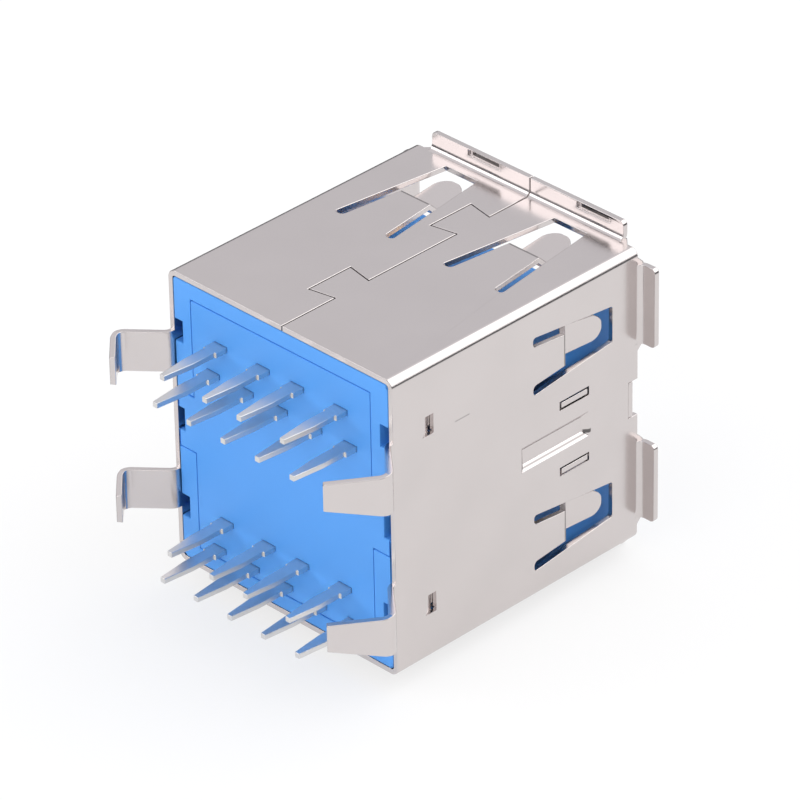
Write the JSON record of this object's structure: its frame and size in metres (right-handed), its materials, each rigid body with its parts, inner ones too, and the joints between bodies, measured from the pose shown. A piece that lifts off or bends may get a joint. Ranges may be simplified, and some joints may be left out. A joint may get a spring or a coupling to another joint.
{
  "type": "stacked dual usb-a socket",
  "caption": "Straight board-mount socket that stacks two plug openings in one folded metal shell with a blue insulator.",
  "frame": {"origin": "centre of the board face, where the rear of the insulator meets the circuit board", "axes": "+Y out of the plug openings, X across the width, +Z across the stack from the lower to the upper opening; the socket lies on a wide wall"},
  "size_m": [0.016, 0.0184, 0.0158],
  "materials": {
    "shell_metal": "nickel-plated sheet, satin to bright",
    "contact_metal": "tin-plated tails, gold-plated contact ends",
    "blue_plastic": "moulded, satin"
  },
  "bodies": {
    "root": {"flat_contact_lower_1": "contact_metal", "flat_contact_lower_2": "contact_metal", "flat_contact_lower_3": "contact_metal", "flat_contact_lower_4": "contact_metal", "flat_contact_lower_5": "contact_metal", "flat_contact_upper_1": "contact_metal", "flat_contact_upper_2": "contact_metal", "flat_contact_upper_3": "contact_metal", "flat_contact_upper_4": "contact_metal", "flat_contact_upper_5": "contact_metal", "housing": "blue_plastic", "outer_shell": "shell_metal", "port_divider": "shell_metal", "sprung_contact_lower_1": "contact_metal", "sprung_contact_lower_2": "contact_metal", "sprung_contact_lower_3": "contact_metal", "sprung_contact_lower_4": "contact_metal", "sprung_contact_upper_1": "contact_metal", "sprung_contact_upper_2": "contact_metal", "sprung_contact_upper_3": "contact_metal", "sprung_contact_upper_4": "contact_metal", "tail_organiser": "blue_plastic"}
  },
  "joints": []
}
